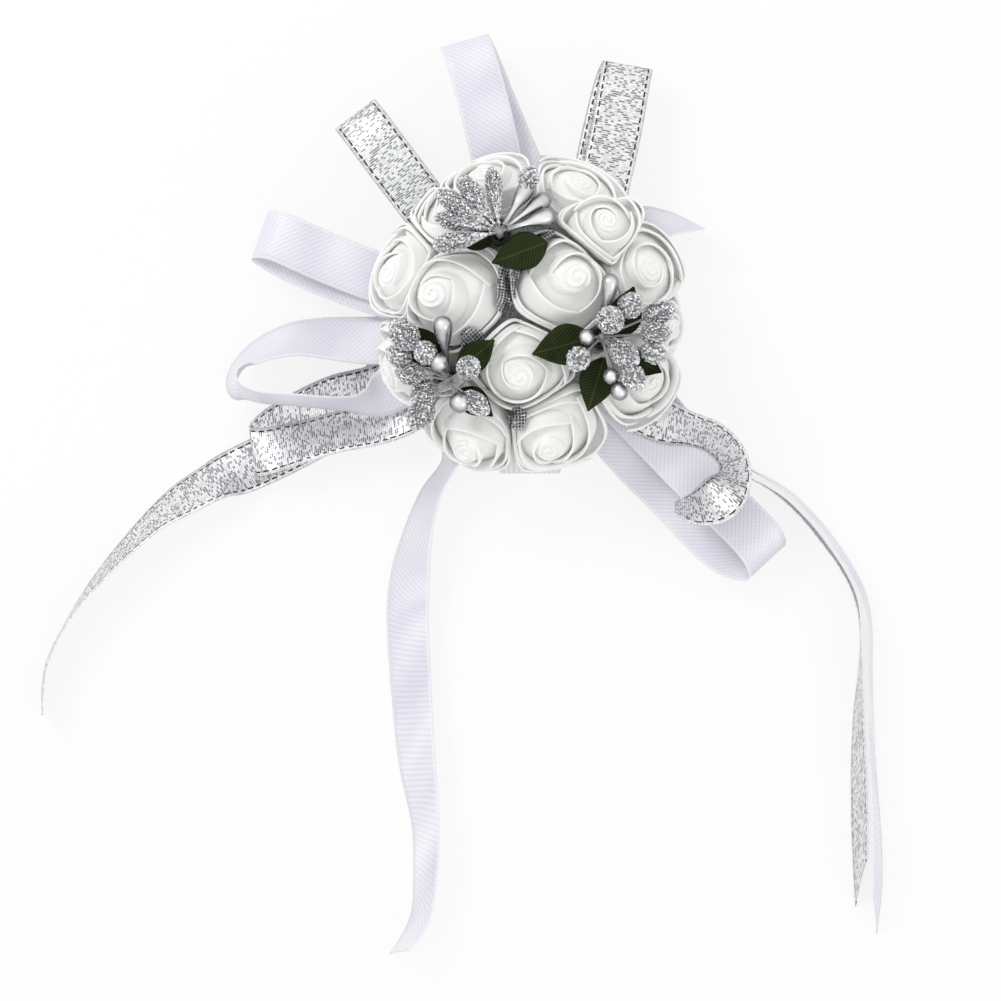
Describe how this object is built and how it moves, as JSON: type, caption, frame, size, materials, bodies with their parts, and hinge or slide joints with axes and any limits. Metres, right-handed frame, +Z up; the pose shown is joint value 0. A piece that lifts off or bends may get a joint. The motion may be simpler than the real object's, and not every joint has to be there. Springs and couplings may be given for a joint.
{
  "type": "wrist corsage",
  "caption": "Wrist corsage: a posy of white foam roses with silver stamen sprays and green leaves, satin and silver ribbon loops and tails, on a felt disc with an elastic wrist loop.",
  "frame": {"origin": "middle of the underside of the flattened elastic wrist loop, on the table, under the middle of the felt disc", "axes": "+Z up, out of the face of the posy; +Y to the top of the posy, away from the hanging tails; +X to the right as the picture shows it"},
  "size_m": [0.1682, 0.1835, 0.0443],
  "materials": {
    "foam": "matt foam sheet",
    "leaf_satin": "stiffened ribbed satin",
    "stem_tape": "floral tape",
    "stamen_silver": "silver pearl and glitter",
    "white_satin": "satin ribbon",
    "silver_lame": "silver metallic ribbon with a dark dashed edge",
    "elastic": "ribbed woven elastic",
    "felt": "felt",
    "glue": "hot glue",
    "silver_net": "crushed silver mesh"
  },
  "bodies": {
    "posy": {"elastic_upper": "elastic", "elastic_bend_top": "elastic", "elastic_bend_bottom": "elastic", "backing_disc": "felt", "glue_core": "glue", "silver_mesh": "silver_net", "rose_01": "foam", "rose_02": "foam", "rose_03": "foam", "rose_04": "foam", "rose_05": "foam", "rose_06": "foam", "rose_07": "foam", "rose_08": "foam", "rose_09": "foam", "rose_10": "foam", "rose_11": "foam", "rose_12": "foam", "rose_13": "foam", "rose_14": "foam", "leaf_top": "leaf_satin", "leaf_top_lower": "leaf_satin", "leaf_right_inner": "leaf_satin", "leaf_right_lower": "leaf_satin", "leaf_right_upper": "leaf_satin", "leaf_right_outer": "leaf_satin", "leaf_left_upper": "leaf_satin", "leaf_left_inner": "leaf_satin", "leaf_left_lower": "leaf_satin", "stem_sleeve_top": "stem_tape", "stem_sleeve_left": "stem_tape", "stem_sleeve_right": "stem_tape"},
    "wrist_loop": {"elastic_lower": "elastic"},
    "satin_loop_top": {"satin_loop_top": "white_satin"},
    "satin_loop_left_upper": {"satin_loop_left_upper": "white_satin"},
    "satin_loop_left_lower": {"satin_loop_left_lower": "white_satin"},
    "satin_loop_right": {"satin_loop_right": "white_satin"},
    "silver_loop_top_left": {"silver_loop_top_left": "silver_lame"},
    "silver_loop_top_right": {"silver_loop_top_right": "silver_lame"},
    "silver_loop_left": {"silver_loop_left": "silver_lame"},
    "silver_loop_right": {"silver_loop_right": "silver_lame"},
    "satin_point": {"satin_point": "white_satin"},
    "left_tail": {"silver_tail_left": "silver_lame"},
    "centre_tail": {"satin_tail_centre": "white_satin"},
    "right_tails": {"satin_tail_right": "white_satin", "silver_tail_right": "silver_lame"},
    "stamens_top": {"stamens_top": "stamen_silver"},
    "stamens_left": {"stamens_left": "stamen_silver"},
    "stamens_right": {"stamens_right": "stamen_silver"}
  },
  "joints": [
    {"name": "wrist_loop_stretch", "type": "slide", "parent": "posy", "child": "wrist_loop", "axis": [0, 0, -1], "range_m": [0, 0.028], "stiffness_N_per_m": 10, "deforming": ["elastic_bend_top", "elastic_bend_bottom"]},
    {"name": "satin_loop_top_fan", "type": "hinge", "parent": "posy", "child": "satin_loop_top", "pos_m": [0, 0, 0.01], "axis": [0, 0, 1], "range_deg": [-6, 3]},
    {"name": "satin_loop_left_upper_fan", "type": "hinge", "parent": "posy", "child": "satin_loop_left_upper", "pos_m": [0, 0, 0.01], "axis": [0, 0, 1], "range_deg": [-6, 4]},
    {"name": "satin_loop_left_lower_fan", "type": "hinge", "parent": "posy", "child": "satin_loop_left_lower", "pos_m": [0, 0, 0.01], "axis": [0, 0, 1], "range_deg": [-2, 2]},
    {"name": "satin_loop_right_fan", "type": "hinge", "parent": "posy", "child": "satin_loop_right", "pos_m": [0, 0, 0.01], "axis": [0, 0, 1], "range_deg": [-5, 2]},
    {"name": "silver_loop_top_left_fan", "type": "hinge", "parent": "posy", "child": "silver_loop_top_left", "pos_m": [0, 0, 0.01], "axis": [0, 0, 1], "range_deg": [-3, 5]},
    {"name": "silver_loop_top_right_fan", "type": "hinge", "parent": "posy", "child": "silver_loop_top_right", "pos_m": [0, 0, 0.01], "axis": [0, 0, 1], "range_deg": [-6, 6]},
    {"name": "silver_loop_left_fan", "type": "hinge", "parent": "posy", "child": "silver_loop_left", "pos_m": [0, 0, 0.01], "axis": [0, 0, 1], "range_deg": [-1.5, 2]},
    {"name": "silver_loop_right_fan", "type": "hinge", "parent": "posy", "child": "silver_loop_right", "pos_m": [0, 0, 0.01], "axis": [0, 0, 1], "range_deg": [-5, 5]},
    {"name": "satin_point_fan", "type": "hinge", "parent": "posy", "child": "satin_point", "pos_m": [0, 0, 0.01], "axis": [0, 0, 1], "range_deg": [-6, 5]},
    {"name": "left_tail_droop", "type": "hinge", "parent": "posy", "child": "left_tail", "pos_m": [-0.01472, -0.00155, 0.0085], "axis": [-0.1045, 0.9945, 0], "range_deg": [-60, 0]},
    {"name": "centre_tail_droop", "type": "hinge", "parent": "posy", "child": "centre_tail", "pos_m": [-0.0099, -0.011, 0.0085], "axis": [-0.7431, 0.6691, 0], "range_deg": [-60, 0]},
    {"name": "right_tails_droop", "type": "hinge", "parent": "posy", "child": "right_tails", "pos_m": [0.01241, -0.00806, 0.0085], "axis": [-0.5446, -0.8387, 0], "range_deg": [-60, 0]},
    {"name": "stamens_top_twist", "type": "hinge", "parent": "posy", "child": "stamens_top", "pos_m": [-0.006, 0.0146, 0.025], "axis": [0, 0, 1], "range_deg": [-6, 6]},
    {"name": "stamens_left_twist", "type": "hinge", "parent": "posy", "child": "stamens_left", "pos_m": [-0.016, -0.0138, 0.025], "axis": [0, 0, 1], "range_deg": [-6, 6]},
    {"name": "stamens_right_twist", "type": "hinge", "parent": "posy", "child": "stamens_right", "pos_m": [0.0136, -0.0056, 0.025], "axis": [0, 0, 1], "range_deg": [-6, 6]}
  ]
}
